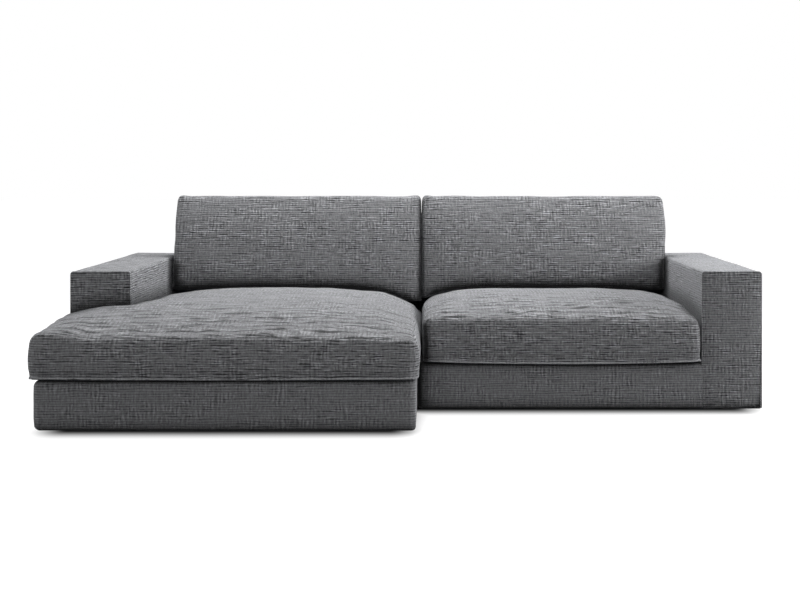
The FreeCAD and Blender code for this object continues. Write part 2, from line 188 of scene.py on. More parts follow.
def slice_at(piece, axis, places):
    """Cut edge loops into a piece at places along an axis."""
    normal = [0, 0, 0]
    normal[axis] = 1
    take(piece)
    mode("EDIT")
    for place in places:
        point = [0, 0, 0]
        point[axis] = place
        bpy.ops.mesh.select_all(action="SELECT")
        bpy.ops.mesh.bisect(plane_co=point, plane_no=normal)
    mode("OBJECT")


def places_between(low, high, pitch):
    """Places that part a length into even steps of about a pitch."""
    count = max(1, round((high - low) / pitch))
    return [low + (high - low) * i / count for i in range(1, count)]


def read(items, key, width=1, kind=float):
    """One value of every item; wider ones come in rows."""
    values = np.empty(len(items) * width, kind)
    items.foreach_get(key, values)
    return values.reshape(-1, width) if width > 1 else values


def points_of(piece):
    return read(piece.data.vertices, "co", 3)


def normals_of(piece):
    piece.data.update()
    return read(piece.data.vertices, "normal", 3)


def set_points(piece, co):
    piece.data.vertices.foreach_set("co", co.ravel())
    piece.data.update()


def padding(piece, swell, reach, seed):
    """Soft unevenness of the wadding under the cover."""
    co, no = points_of(piece), normals_of(piece)
    shift = Vector((seed * 3.1, seed * 1.7, seed * 2.3))
    lift = [noise.noise(Vector(p) / reach + shift) for p in co]
    set_points(piece, co + no * (np.array(lift) * swell)[:, None])


def smooth_faces(piece, angle=40):
    take(piece)
    bpy.ops.object.shade_smooth_by_angle(angle=math.radians(angle), keep_sharp_edges=False)


def modify(piece, kind, **values):
    """Work a piece over with a modifier of a kind."""
    modifier = piece.modifiers.new(kind, kind)
    set_all(modifier, **values)
    take(piece)
    bpy.ops.object.modifier_apply(modifier=modifier.name)


def new_object(name, data):
    piece = bpy.data.objects.new(name, data)
    bpy.context.scene.collection.objects.link(piece)
    return piece


def weigh(piece, name, weight):
    """Gather the points that have a weight into a group."""
    group = piece.vertex_groups.new(name=name)
    for index in np.nonzero(weight > 0.02)[0]:
        group.add([int(index)], float(weight[index]), "REPLACE")


def lay_cloth(piece):
    """Lay the weave on a piece in metres: rows run level round it, and each panel meets the next."""
    mesh = piece.data
    co = points_of(piece)
    corner_vert = read(mesh.loops, "vertex_index", kind=int)
    face_no = read(mesh.polygons, "normal", 3)
    totals = read(mesh.polygons, "loop_total", kind=int)
    axis = np.argmax(np.abs(face_no), axis=1)
    sign = np.sign(face_no[np.arange(len(face_no)), axis])
    side = np.repeat(axis * 2 + (sign > 0), totals)
    left, right, front, back, under, top = range(6)
    p = co[corner_vert]

    def shared(a, b):
        return np.intersect1d(corner_vert[side == a], corner_vert[side == b])

    def mean(values, default):
        return float(values.mean()) if len(values) else default

    k = shared(front, top)
    top_shift = mean(co[k, 2] - co[k, 1], 0.0)
    k = shared(back, top)
    back_shift = mean(co[k, 2] + co[k, 1] + top_shift, 0.3)
    k = shared(front, right)
    right_shift = mean(co[k, 0] - co[k, 1], 0.5)
    k = shared(front, left)
    left_shift = mean(co[k, 0] + co[k, 1], -0.5)
    u = np.where(side == left, left_shift - p[:, 1], p[:, 0])
    u = np.where(side == right, p[:, 1] + right_shift, u)
    v = np.where(side == back, back_shift - p[:, 2], p[:, 2])
    v = np.where((side == top) | (side == under), p[:, 1] + top_shift, v)
    layer = mesh.uv_layers.get("Weave") or mesh.uv_layers.new(name="Weave")
    layer.data.foreach_set("uv", np.stack([u, v], axis=1).ravel())


def carry(piece, name, values):
    """Store a value on each point of a piece."""
    layer = piece.data.attributes.get(name) or piece.data.attributes.new(name, "FLOAT", "POINT")
    count = len(piece.data.vertices)
    layer.data.foreach_set("value", np.broadcast_to(np.asarray(values, float), count).copy())


def welt(name, path, radius, closed=False):
    """Sewn edge that stands a little proud, along a path, its colour lightened as a painted highlight."""
    curve = bpy.data.curves.new(name, "CURVE")
    set_all(curve, dimensions="3D", bevel_depth=radius, bevel_resolution=2, use_fill_caps=not closed)
    line = curve.splines.new("POLY")
    line.points.add(len(path) - 1)
    for point, place in zip(line.points, path):
        point.co = (*place, 1)
    line.use_cyclic_u = closed
    take(new_object(name, curve))
    bpy.ops.object.convert(target="MESH")
    bead = bpy.context.object
    # Marks the bead so that its tone comes out lighter: a painted highlight.
    carry(bead, "Edge", 1.0)
    return bead


def sew_on(piece, bead):
    """Make a sewn edge part of its cover's mesh."""
    take(piece)
    bead.select_set(True)
    bpy.ops.object.join()


# Materials

def new_material(name):
    """A material, its node tree and its shader."""
    material = bpy.data.materials.new(name)
    material.use_nodes = True
    net = material.node_tree
    return material, net, net.nodes["Principled BSDF"]


def add(net, kind, **values):
    node = net.nodes.new(kind)
    set_all(node, **values)
    return node


def fill(node, values):
    """Set plain values on a node's inputs."""
    for key, value in values.items():
        node.inputs[key].default_value = value


def mapped(net, source, scale):
    """Cloth coordinates stretched by scale."""
    node = add(net, "ShaderNodeMapping", vector_type="POINT")
    fill(node, {"Scale": scale})
    net.links.new(source, node.inputs["Vector"])
    return node.outputs["Vector"]


def rough_noise(net, vector, scale, detail, roughness=0.5, distortion=0.0):
    """Soft noise from 0 to 1 over a place."""
    node = add(net, "ShaderNodeTexNoise", noise_dimensions="3D")
    fill(node, {"Scale": scale, "Detail": detail, "Roughness": roughness, "Distortion": distortion})
    net.links.new(vector, node.inputs["Vector"])
    return node.outputs["Fac"]


def maths(net, operation, a, b=None):
    """One sum on values or plain numbers."""
    node = add(net, "ShaderNodeMath", operation=operation)
    for socket, value in zip(node.inputs, (a, b)):
        if value is None:
            continue
        if isinstance(value, (int, float)):
            socket.default_value = value
        else:
            net.links.new(value, socket)
    return node.outputs[0]


def mixed(net, a, share, b):
    """Two values added up, a by its share and b by the rest."""
    return maths(net, "ADD", maths(net, "MULTIPLY", a, share), maths(net, "MULTIPLY", b, 1 - share))


def spread(net, value, low, high, to_low=0.0, to_high=1.0):
    """A value between low and high, eased out to another range."""
    node = add(net, "ShaderNodeMapRange", clamp=True, interpolation_type="SMOOTHSTEP")
    net.links.new(value, node.inputs["Value"])
    fill(node, {"From Min": low, "From Max": high, "To Min": to_low, "To Max": to_high})
    return node.outputs["Result"]


def ramp(net, value, stops):
    """Colours at stated places of a value."""
    node = add(net, "ShaderNodeValToRGB")
    while len(node.color_ramp.elements) < len(stops):
        node.color_ramp.elements.new(0.5)
    for element, (place, colour) in zip(node.color_ramp.elements, stops):
        element.position = place
        element.color = (*colour, 1)
    net.links.new(value, node.inputs["Fac"])
    return node.outputs["Color"]


def bump(net, height, shader, strength, distance):
    """Relief in the shader's light only, as deep as distance."""
    node = add(net, "ShaderNodeBump")
    fill(node, {"Strength": strength, "Distance": distance})
    net.links.new(height, node.inputs["Height"])
    net.links.new(node.outputs["Normal"], shader.inputs["Normal"])


def grey(value):
    """The cloth's slightly cool grey."""
    return (value, value * 1.01, value * 1.05)


def centred(net, value, size):
    """Noise made to swing evenly about nothing, by size each way."""
    return maths(net, "MULTIPLY", maths(net, "SUBTRACT", value, 0.5), size * 2)


def ridges(net, place, shift, pitch):
    """Even ribs of a pitch across the cloth, pushed about by shift."""
    moved = maths(net, "ADD", place, shift)
    return maths(net, "SINE", maths(net, "MULTIPLY", moved, 2 * math.pi / pitch))


def object_place(net):
    return add(net, "ShaderNodeTexCoord").outputs["Object"]


def own_value(net, name):
    """A value that the piece carries on its points."""
    return add(net, "ShaderNodeAttribute", attribute_name=name).outputs["Fac"]


def chenille(name):
    """Crinkled weave: level rows, upright threads in patches, thin dark slits, and gathers where it is slack.

    A piece carries three values on its points: Slack deepens the crinkle, Gather sets the folds and their
    painted shade, and Edge lightens a sewn edge's colour, a painted highlight.
    """
    material, net, shader = new_material(name)
    uv = add(net, "ShaderNodeUVMap", uv_map="Weave").outputs["UV"]
    split = add(net, "ShaderNodeSeparateXYZ")
    net.links.new(uv, split.inputs["Vector"])
    along, up = split.outputs["X"], split.outputs["Y"]
    slack, gather, edge = (own_value(net, key) for key in ("Slack", "Gather", "Edge"))

    def cloud(scale, detail=2, roughness=0.5):
        return rough_noise(net, mapped(net, uv, scale), 1, detail, roughness)

    def patch(scale, low, high):
        return spread(net, cloud(scale, roughness=0.6), low, high)

    def times(a, b):
        return maths(net, "MULTIPLY", a, b)

    def plus(a, b):
        return maths(net, "ADD", a, b)

    def minus(a, b):
        return maths(net, "SUBTRACT", a, b)

    def thin(wave, sign, sharpness):
        """Only the crests (1) or the troughs (-1) of a wave, from 0 to 1."""
        return maths(net, "POWER", plus(times(wave, 0.5 * sign), 0.5), sharpness)

    # Where the rows, threads, slits and gathers lie.
    rows = ridges(net, up, centred(net, cloud((6, 28, 1)), 0.0075), ROW_PITCH)
    busy = spread(net, cloud((4, 9, 5)), 0.40, 0.58, 0.42, 1.0)
    slits = times(times(thin(rows, -1, 3.0), patch((19, 98, 1), 0.49, 0.61)), busy)
    lifts = times(times(thin(rows, 1, 2.5), patch((21, 98, 7), 0.49, 0.62)), busy)
    threads = ridges(net, along, centred(net, cloud((40, 13, 1)), 0.0150), THREAD_PITCH)
    threads = times(times(threads, patch((17, 30, 1), 0.40, 0.60)), busy)
    weft = centred(net, cloud((190, 48, 3), 1), 0.16)
    folds = ridges(net, up, centred(net, cloud((5, 12, 3)), 0.045), GATHER_PITCH)
    # Gathers of slack cloth on upward faces: their folds are real relief in the bump, and their dark dips and
    # light swells in the tone are painted shade and light.
    dips = times(times(thin(folds, -1, 4.0), patch((8, 26, 1), 0.44, 0.58)), gather)
    swells = times(times(thin(folds, 1, 2.0), patch((7, 24, 5), 0.44, 0.62)), gather)
    slub = centred(net, cloud((120, 200, 1), roughness=0.6), 0.12)
    fibre = centred(net, cloud((420, 420, 1)), 0.10)

    # How high the cloth stands, which also sets its tone.
    height = plus(times(rows, 0.07), plus(times(threads, 0.14), weft))
    height = plus(height, times(lifts, plus(times(slack, 0.32), 0.10)))
    height = minus(height, times(slits, plus(times(slack, 0.72), 0.16)))
    height = plus(height, plus(slub, fibre))
    height = plus(height, minus(times(swells, 0.14), times(dips, 0.54)))
    # A sewn edge stands higher and so is lighter in tone: a painted highlight.
    height = plus(height, plus(times(edge, 0.26), 0.5))

    stops = ((0.0, 0.022), (0.25, 0.072), (0.45, 0.152), (0.62, 0.228), (0.90, 0.43))
    tone = ramp(net, height, [(place, grey(value)) for place, value in stops])

    # Painted shade: an ambient occlusion node darkens the colour in nooks, such as between the cushions.
    painted_nook_shade = add(net, "ShaderNodeAmbientOcclusion", samples=6)
    fill(painted_nook_shade, {"Distance": 0.085})
    shade = add(net, "ShaderNodeVectorMath", operation="SCALE")
    net.links.new(tone, shade.inputs[0])
    net.links.new(spread(net, painted_nook_shade.outputs["AO"], 0.48, 0.95, 0.04, 1.0), shade.inputs["Scale"])
    net.links.new(shade.outputs["Vector"], shader.inputs["Base Color"])
    fill(shader, {"Roughness": 0.92, "Specular IOR Level": 0.2, "Sheen Weight": 0.25, "Sheen Roughness": 0.45,
                  "Sheen Tint": (0.9, 0.92, 0.96, 1)})
    ruckle = centred(net, cloud((8, 26, 1)), 0.7)
    bump(net, plus(height, times(ruckle, slack)), shader, 0.8, 0.0042)
    return material


def plain_cloth(name, colour, threads, depth):
    """Flat woven cloth or webbing, its threads a stated number to the metre."""
    material, net, shader = new_material(name)
    place = object_place(net)
    along = rough_noise(net, mapped(net, place, (threads, threads * 0.15, threads)), 1, 2)
    across = rough_noise(net, mapped(net, place, (threads * 0.15, threads, threads)), 1, 2)
    height = mixed(net, along, 0.5, across)
    dark = tuple(c * 0.72 for c in colour)
    light = tuple(min(1.0, c * 1.25) for c in colour)
    tone = ramp(net, spread(net, height, 0.35, 0.65), ((0.0, dark), (1.0, light)))
    net.links.new(tone, shader.inputs["Base Color"])
    fill(shader, {"Roughness": 0.9, "Specular IOR Level": 0.2})
    bump(net, height, shader, 0.5, depth)
    return material


def softwood(name):
    """Bare planed softwood: grain along the length, a few darker rings."""
    material, net, shader = new_material(name)
    place = object_place(net)
    grain = rough_noise(net, mapped(net, place, (6, 6, 90)), 1, 4, 0.6, 0.6)
    pores = rough_noise(net, mapped(net, place, (30, 30, 900)), 1, 2)
    height = mixed(net, grain, 0.75, pores)
    stops = ((0.30, (0.36, 0.21, 0.10)), (0.50, (0.55, 0.37, 0.20)), (0.72, (0.68, 0.49, 0.29)))
    tone = ramp(net, height, stops)
    net.links.new(tone, shader.inputs["Base Color"])
    net.links.new(spread(net, grain, 0.3, 0.7, 0.5, 0.72), shader.inputs["Roughness"])
    bump(net, height, shader, 0.3, 0.0006)
    return material


def hard_finish(name, colour, metallic, low, high, grain, depth):
    """Moulded plastic or metal: faint mottling, with polish that varies between low and high."""
    material, net, shader = new_material(name)
    place = object_place(net)
    mottle = rough_noise(net, place, grain, 4, 0.6)
    dark, light = (tuple(c * share for c in colour) for share in (0.8, 1.2))
    tone = ramp(net, mottle, ((0.3, dark), (0.7, light)))
    net.links.new(tone, shader.inputs["Base Color"])
    net.links.new(spread(net, mottle, 0.3, 0.7, low, high), shader.inputs["Roughness"])
    fill(shader, {"Metallic": metallic})
    bump(net, mottle, shader, 0.25, depth)
    return material


upholstery = chenille("grey_chenille")
platform = plain_cloth("platform_cloth", (0.045, 0.045, 0.048), 900, 0.0006)
lining = plain_cloth("dust_cloth_felt", (0.022, 0.022, 0.023), 420, 0.0004)
belts = plain_cloth("elastic_webbing", (0.50, 0.46, 0.39), 700, 0.0006)
tape = plain_cloth("zip_tape", (0.055, 0.056, 0.060), 1100, 0.0003)
timber = softwood("softwood")
black_plastic = hard_finish("black_moulded_feet", (0.020, 0.020, 0.021), 0.0, 0.42, 0.6, 240, 0.0003)
zinc = hard_finish("zinc_plate", (0.52, 0.53, 0.55), 1.0, 0.28, 0.5, 60, 0.0002)
enamel = hard_finish("grey_enamel", (0.055, 0.056, 0.060), 0.3, 0.3, 0.45, 300, 0.0001)


def dress(piece, material):
    piece.data.materials.clear()
    piece.data.materials.append(material)


# The frame's own nodes take their finish by the ends of their names.
CARRIED = {
    "_rail": timber, "_frame": timber, "_blocks": timber, "_webbing": belts, "_feet": black_plastic,
    "_bolts": zinc, "_claws": zinc, "_pins": zinc, "_zip": tape, "_slider": enamel, "_deck": platform,
    "_dust_cloth": lining, "_cover": upholstery, "_border": upholstery, "_core": platform,
}
for name, node in frame["nodes"].items():
    for ending, material in CARRIED.items():
        if name.endswith(ending):
            for slot in node.material_slots:
                slot.material = material


def finish_cover(piece, body, nodes, slack, angle=40):
    """Lay the weave, dress the piece, and put it on its body in place of its nodes."""
    lay_cloth(piece)
    carry(piece, "Slack", slack)
    dress(piece, upholstery)
    smooth_faces(piece, angle)
    put_down()
    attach(piece, body)
    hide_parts(*nodes)


# Cushions

def outer_skin(node, name):
    """A cushion cover without the hollow for its foam, in even squares."""
    piece = new_object(name, frame["nodes"][node].data.copy())
    take(piece)
    mode("EDIT")
    bpy.ops.mesh.select_all(action="SELECT")
    bpy.ops.mesh.remove_doubles(threshold=0.00005)
    bpy.ops.mesh.select_all(action="DESELECT")
    mesh = bmesh.from_edit_mesh(piece.data)
    lowest = min(mesh.verts, key=lambda v: v.co.x)
    lowest.select_set(True)
    mesh.select_flush_mode()
    bmesh.update_edit_mesh(piece.data)
    bpy.ops.mesh.select_linked()
    bpy.ops.mesh.select_all(action="INVERT")
    bpy.ops.mesh.delete(type="VERT")
    mode("OBJECT")
    piece.data.remesh_voxel_size = CUSHION_PITCH
    piece.data.use_remesh_fix_poles = False
    bpy.ops.object.voxel_remesh()
    return piece


def relax(piece):
    modify(piece, "SMOOTH", iterations=2, factor=0.5)


def plump(piece, held, swell):
    """Blow the cover up a little with cloth simulation; held points stay where they are."""
    scene = bpy.context.scene
    rest = points_of(piece)
    weigh(piece, "held", held)
    take(piece)
    modifier = piece.modifiers.new("Cloth", "CLOTH")
    set_all(modifier.settings, quality=4, mass=0.35, tension_stiffness=25, compression_stiffness=25,
            shear_stiffness=12, bending_stiffness=1.5, use_pressure=True, uniform_pressure_force=4,
            vertex_group_mass="held", pin_stiffness=1.0)
    modifier.settings.effector_weights.gravity = 0
    set_all(modifier.collision_settings, use_collision=False, use_self_collision=False)
    scene.frame_start, scene.frame_end = 1, CLOTH_STEPS
    for step in range(1, CLOTH_STEPS + 1):
        scene.frame_set(step)
    bpy.ops.object.modifier_apply(modifier="Cloth")
    moved = points_of(piece) - rest
    length = np.linalg.norm(moved, axis=1)
    moved *= np.minimum(1, swell / np.maximum(length, 1e-9))[:, None]
    set_points(piece, rest + moved)
    scene.frame_set(1)
    piece.vertex_groups.clear()


def refine(piece):
    modify(piece, "SUBSURF", levels=1, render_levels=1)
    relax(piece)


def keep_in(piece, low, high):
    """Hold a soft piece inside planes that its neighbours set."""
    set_points(piece, np.clip(points_of(piece), low, high))


def skin_tree(piece):
    mesh = piece.data
    return BVHTree.FromPolygons([v.co for v in mesh.vertices], [p.vertices for p in mesh.polygons])


def trace(tree, starts, ways, sink):
    """Points where rays from outside meet a cover, sunk a little into it."""
    path = []
    for start, way in zip(starts, ways):
        hit = tree.ray_cast(Vector(start), Vector(way), 0.4)
        if hit[0] is not None:
            path.append(hit[0] + Vector(way).normalized() * sink)
    return path


def plan_walk(corners, radius, pitch):
    """Points and outward directions round a plan outline with rounded corners, clockwise from above."""
    places, ways = [], []
    count = len(corners)
    turn_steps = 6
    for i in range(count):
        before, here, after = (Vector(corners[(i + k) % count]) for k in (-1, 0, 1))
        a, b = (here - before).normalized(), (after - here).normalized()
        outside = a.x * b.y - a.y * b.x < 0
        start = here - a * radius
        end = here + b * radius
        centre = start + b * radius
        out_a = Vector((-a.y, a.x))
        out_b = Vector((-b.y, b.x))
        for k in range(turn_steps + 1):
            t = k / turn_steps
            way = (out_a * (1 - t) + out_b * t).normalized()
            places.append(centre + way * radius if outside else start.lerp(end, t))
            ways.append(way)
        length = (after - here).length - 2 * radius
        steps = max(1, round(length / pitch))
        for k in range(1, steps):
            places.append(end + b * (length * k / steps))
            ways.append(out_b)
    return places, ways


def level_welt(name, piece, corners, height, droop):
    """Welt round a cushion at a height, which droop changes from place to place."""
    places, ways = plan_walk(corners, WELT_TURN, WELT_PITCH)
    tree = skin_tree(piece)
    starts, inward = [], []
    for place, way in zip(places, ways):
        z = height + droop(place.x, place.y)
        starts.append((place.x + way.x * 0.05, place.y + way.y * 0.05, z))
        inward.append((-way.x, -way.y, 0))
    return welt(name, trace(tree, starts, inward, WELT_SINK), SEAM_WELT, closed=True)


def recrown(piece, marks, reach, foot, full):
    """Raise or lower the crown to marks, each a place in plan and a rise; nothing moves below the foot."""
    co = points_of(piece)
    weight = np.full(len(co), 0.12)
    rise = np.zeros(len(co))
    for x, y, dz in marks:
        near = np.exp(-((co[:, 0] - x) ** 2 + (co[:, 1] - y) ** 2) / reach ** 2)
        weight += near
        rise += near * dz
    share = grow(co[:, 2] - foot, full - foot)
    co[:, 2] += rise / weight * share
    set_points(piece, co)


def nudge(piece, moves):
    """Push the cover: each push has a place, a reach along each axis, and a move."""
    co = points_of(piece)
    shift = np.zeros_like(co)
    for place, reach, move in moves:
        near = np.exp(-(((co - place) / reach) ** 2).sum(axis=1))
        shift += near[:, None] * np.array(move)
    set_points(piece, co + shift)


def lean_side(piece, edge, depth, profile, y_range):
    """Draw a side face in or out by height, over a range of y; profile lists heights and moves along x."""
    co = points_of(piece)
    near = fade(np.abs(co[:, 0] - edge), depth)
    near *= (co[:, 1] > y_range[0]) * (co[:, 1] < y_range[1])
    co[:, 0] += near * np.interp(co[:, 2], [h for h, _ in profile], [m for _, m in profile])
    set_points(piece, co)


def droop_lip(piece, front, low, ends, drop, rise):
    """Let the front lip hang a little in the middle and lift at its ends."""
    co = points_of(piece)
    lip = grow(front - co[:, 1], 0.010) * fade(co[:, 2] - low, 0.07)
    t = grow(co[:, 0] - ends[0], ends[1] - ends[0])
    sag = np.sin(np.pi * t) ** 0.6
    co[:, 2] += lip * (rise * (1 - sag) - drop * sag)
    set_points(piece, co)


def ruck(piece, seed, depth):
    """Long shallow rucks that run across the cover, strongest where it faces up."""
    co, no = points_of(piece), normals_of(piece)
    shift = Vector((seed * 5.3, seed * 2.9, seed))
    swell = np.array([noise.noise(Vector((x * 4.5, y * 17 + z * 17, 0.5)) + shift) for x, y, z in co])
    fine = np.array([noise.noise(Vector((x * 9, y * 34 + z * 34, 4.5)) + shift) for x, y, z in co])
    facing_up = np.clip(no[:, 2], 0, 1)
    lift = (swell + 0.6 * fine) * depth * (0.35 + 0.65 * facing_up)
    set_points(piece, co + no * lift[:, None])


def seat_pad(name, node, body, cores, corners, seed, marks, moves, side, lip):
    """Thick crowned seat cushion, flat where it rests on the deck.

    corners are its outline in plan. lip gives the y in front of which the lower edge hangs, its drop in the
    middle and its rise at the ends.
    """
    low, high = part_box(node)
    piece = outer_skin(node, name)
    relax(piece)
    recrown(piece, marks, 0.12, low.z + 0.02, low.z + 0.12)
    nudge(piece, moves)
    lean_side(piece, *side)

    # Round the front upper edge, and let the cloth relax along it.
    co = points_of(piece)
    x, y, z = co.T
    off_ends = np.clip(np.minimum(x - low.x, high.x - x) / 0.06 - 0.3, 0, 1)
    inset = SHOULDER * quarter_round(grow(z - low.z - SHOULDER_FOOT, SHOULDER))
    y += np.maximum(0, low.y + inset - y) * off_ends
    set_points(piece, co)
    shoulder = np.clip(1.2 - np.abs(z - low.z - 0.165) / 0.08, 0, 1) * fade(y - low.y - 0.03, 0.09)
    weigh(piece, "softer", shoulder * off_ends)
    modify(piece, "SMOOTH", iterations=8, factor=0.5, vertex_group="softer")
    piece.vertex_groups.clear()

    # Fill the cover, held along its underside and under the back cushion.
    x, y, z = points_of(piece).T
    held = np.maximum(fade(z - low.z - 0.004, 0.02), grow(y - 0.36, 0.03) * 0.9)
    padding(piece, 0.0030, 0.15, seed)
    plump(piece, held, 0.005)
    refine(piece)
    ruck(piece, seed, 0.0030)
    keep_in(piece, (low.x - 0.004, low.y - 0.006, low.z), (high.x + 0.004, high.y, high.z + 0.010))

    # The lower edge of the front hangs a little, with a groove above the sewn edge.
    lip_front, drop, rise = lip
    droop_lip(piece, lip_front, low.z, (corners[0][0], high.x), drop, rise)
    co, no = points_of(piece), normals_of(piece)
    groove = 0.0036 * np.exp(-((co[:, 2] - low.z - 0.021) / 0.009) ** 2)
    co[:, 1] += groove * np.clip(-no[:, 1] * 2 - 0.6, 0, 1)
    set_points(piece, co)

    def hang(place_x, place_y):
        share = min(1, max(0, (place_x - low.x) / (high.x - low.x)))
        sag = math.sin(math.pi * share) ** 0.6
        return (rise * (1 - sag) - drop * sag) * min(1, max(0, (lip_front - place_y) / 0.010))
    sew_on(piece, level_welt(name + "_lower_welt", piece, corners, low.z + 0.0062, hang))

    co, no = points_of(piece), normals_of(piece)
    # Gather is strongest on upward faces and towards the front, where its fold marks darken the tone: painted
    # shade.
    from_front = grow(co[:, 1] - low.y - 0.18, 0.30)
    carry(piece, "Gather", np.clip(no[:, 2] * 1.6 - 0.4, 0, 1) * (1 - 0.8 * from_front))
    finish_cover(piece, body, [node] + cores, 0.9 - 0.4 * from_front, 60)


def back_pad(name, node, body, core, seed, moves, inner, x_limits, settle):
    """Tall boxed back cushion, flat where the seat and the backrest carry it.

    inner is the x of its end beside the joint, and settle lists distances from there and how far the lower
    edge sinks at each.
    """
    low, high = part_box(node)
    piece = outer_skin(node, name)
    relax(piece)
    nudge(piece, moves)

    # Draw the front in towards the seat, and a little towards the top.
    co = points_of(piece)
    x, y, z = co.T
    y += 0.015 * (np.clip((0.57 - z) / 0.12, 0, 1.25) ** 2 * grow(0.50 - y, 0.08))
    y += 0.006 * (grow(z - 0.72, 0.17) ** 2 * grow(0.62 - y, 0.10))
    set_points(piece, co)

    # Fill the cover, held along its underside and where it leans on the backrest.
    held = np.maximum(fade(z - low.z - 0.02, 0.03), np.where(z < 0.60, grow(y - 0.600, 0.012), 0))
    padding(piece, 0.0030, 0.15, seed)
    plump(piece, held, 0.006)
    refine(piece)
    ruck(piece, seed, 0.0012)
    keep_in(piece, (x_limits[0], low.y - 0.006, low.z), (x_limits[1], high.y + 0.004, high.z + 0.010))

    # Beside the joint the foremost cloth of each level turns in.
    co = points_of(piece)
    x, y, z = co.T
    level = np.round((z - low.z) / 0.02).astype(int)
    foremost = np.full(level.max() + 1, 9.0)
    np.minimum.at(foremost, level, y)
    front_edge = fade(y - foremost[level], 0.045) * fade(np.abs(x - inner), 0.028)
    x += (-0.011 if inner < CUSHION_JOINT else 0.011) * front_edge

    # The lower edge sags there: first its corner, then the filling along it.
    corner = fade(np.abs(x - inner), 0.19) ** 1.5 * fade(z - low.z, 0.24)
    sunk = z - 0.052 * corner * grow(0.54 - y, 0.08)
    z[:] = np.minimum(z, np.maximum(sunk, low.z - 0.0095))
    distances, drops = zip(*settle)
    drop = np.interp(np.abs(x - inner), distances, drops) * fade(z - low.z, 0.24)
    sunk = z - drop * grow(0.60 - y, 0.08)
    z[:] = np.minimum(z, np.maximum(sunk, low.z - 0.022))
    set_points(piece, co)
    finish_cover(piece, body, [node, core], 0.75, 60)


# Marks: a place in plan and the crown's rise there. Moves: a place, a reach along each axis and a push.
chaise_plan = [
    (-1.468, -0.7862), (-1.468, -0.3468), (-1.179, -0.3468), (-1.179, 0.6042), (0.043, 0.6042),
    (0.043, -0.7862),
]
seat_plan = [(0.0433, -0.3751), (0.0433, 0.6042), (1.215, 0.6042), (1.215, -0.3751)]
chaise_marks = [
    (-1.42, -0.36, 0.004), (-1.30, -0.36, 0.015), (-1.18, -0.36, 0.010), (-1.175, -0.20, -0.016),
    (-1.17, -0.01, -0.031), (-1.15, 0.15, -0.032), (-1.14, 0.30, -0.030), (-1.05, 0.25, -0.012),
    (-0.95, 0.26, -0.004), (-0.83, 0.21, -0.002), (-0.60, 0.28, -0.003), (-0.37, 0.27, -0.004),
    (-0.22, 0.28, 0), (-0.11, 0.28, -0.001), (-0.04, 0.36, -0.009), (0.01, 0.36, -0.030),
    (0.04, 0.36, -0.044), (-1.46, -0.76, 0.028), (-1.45, -0.66, 0.016), (-1.45, -0.55, 0.009),
    (-1.44, -0.41, 0.005), (-0.6, 0.0, 0), (-0.6, -0.3, 0), (-0.9, -0.2, 0), (-0.3, -0.2, 0),
    (-1.15, -0.60, 0.004), (-0.9, -0.60, 0.006), (-0.65, -0.60, 0.007), (-0.4, -0.60, 0.007),
    (-0.15, -0.60, 0.005), (-1.15, -0.78, -0.001), (-0.9, -0.78, -0.001), (-0.65, -0.78, -0.001),
    (-0.4, -0.78, -0.001), (-0.15, -0.78, -0.002),
]
chaise_moves = [
    ((0.043, -0.786, 0.235), (0.035, 0.035, 0.05), (-0.018, 0.009, 0)),
    ((-1.468, -0.786, 0.218), (0.03, 0.03, 0.02), (0.006, 0.005, 0)),
    ((-1.468, -0.76, 0.250), (0.05, 0.10, 0.05), (-0.004, 0, 0)),
    ((-1.468, -0.77, 0.33), (0.04, 0.06, 0.08), (-0.007, 0, 0)),
    ((-1.468, -0.60, 0.30), (0.04, 0.25, 0.08), (-0.003, 0, 0)),
    ((0.040, -0.78, 0.40), (0.05, 0.10, 0.03), (0, 0, 0.006)),
]
chaise_side = (0.043, 0.05, [(0.2153, -0.014), (0.245, -0.005), (0.29, 0.001), (0.33, -0.003), (0.37, -0.010),
                             (0.42, -0.014)], (-1, 0.36))
seat_marks = [
    (0.045, 0.36, -0.018), (0.085, 0.36, -0.014), (0.142, 0.356, 0.006), (0.223, 0.34, 0.005),
    (0.62, 0.35, 0), (0.97, 0.35, 0), (1.08, 0.34, 0.002), (1.18, 0.23, -0.003), (1.19, -0.12, 0.001),
    (0.6, 0.05, 0), (0.3, -0.22, 0.005), (0.6, -0.22, 0.006), (0.9, -0.22, 0.005), (0.3, -0.37, -0.002),
    (0.6, -0.37, -0.001), (0.9, -0.37, -0.002),
]
seat_moves = [
    ((1.215, -0.37, 0.30), (0.03, 0.04, 0.08), (0.003, 0, 0)),
]
seat_side = (0.0433, 0.05, [(0.2153, 0.006), (0.245, 0.002), (0.29, 0.0), (0.33, -0.003), (0.37, -0.008),
                            (0.42, -0.008)], (-0.5, 0.2))
seat_pad("chaise_seat_cushion_soft", "chaise_cushion_cover", "chaise_seat_cushion",
         ["chaise_cushion_core", "chaise_wing_core"], chaise_plan, 1, chaise_marks, chaise_moves, chaise_side,
         (-0.7645, 0.001, 0.007))
seat_pad("seat_cushion_soft", "seat_cushion_cover", "seat_cushion", ["seat_cushion_core"],
         seat_plan, 2, seat_marks, seat_moves, seat_side, (-0.3445, 0.007, 0.007))
chaise_back_moves = [
    ((-1.179, 0.50, 0.70), (0.05, 0.3, 0.16), (0.006, 0, 0)),
    ((-1.179, 0.53, 0.72), (0.04, 0.3, 0.22), (-0.005, 0, 0)),
    ((-1.165, 0.56, 0.885), (0.030, 0.12, 0.03), (0, 0, 0.005)),
    ((0.020, 0.56, 0.885), (0.030, 0.12, 0.03), (0.004, 0, 0.006)),
    ((0.031, 0.53, 0.65), (0.03, 0.2, 0.5), (0.005, 0, 0)),
    ((-0.57, 0.56, 0.885), (0.80, 0.12, 0.03), (0, 0, 0.006)),
]
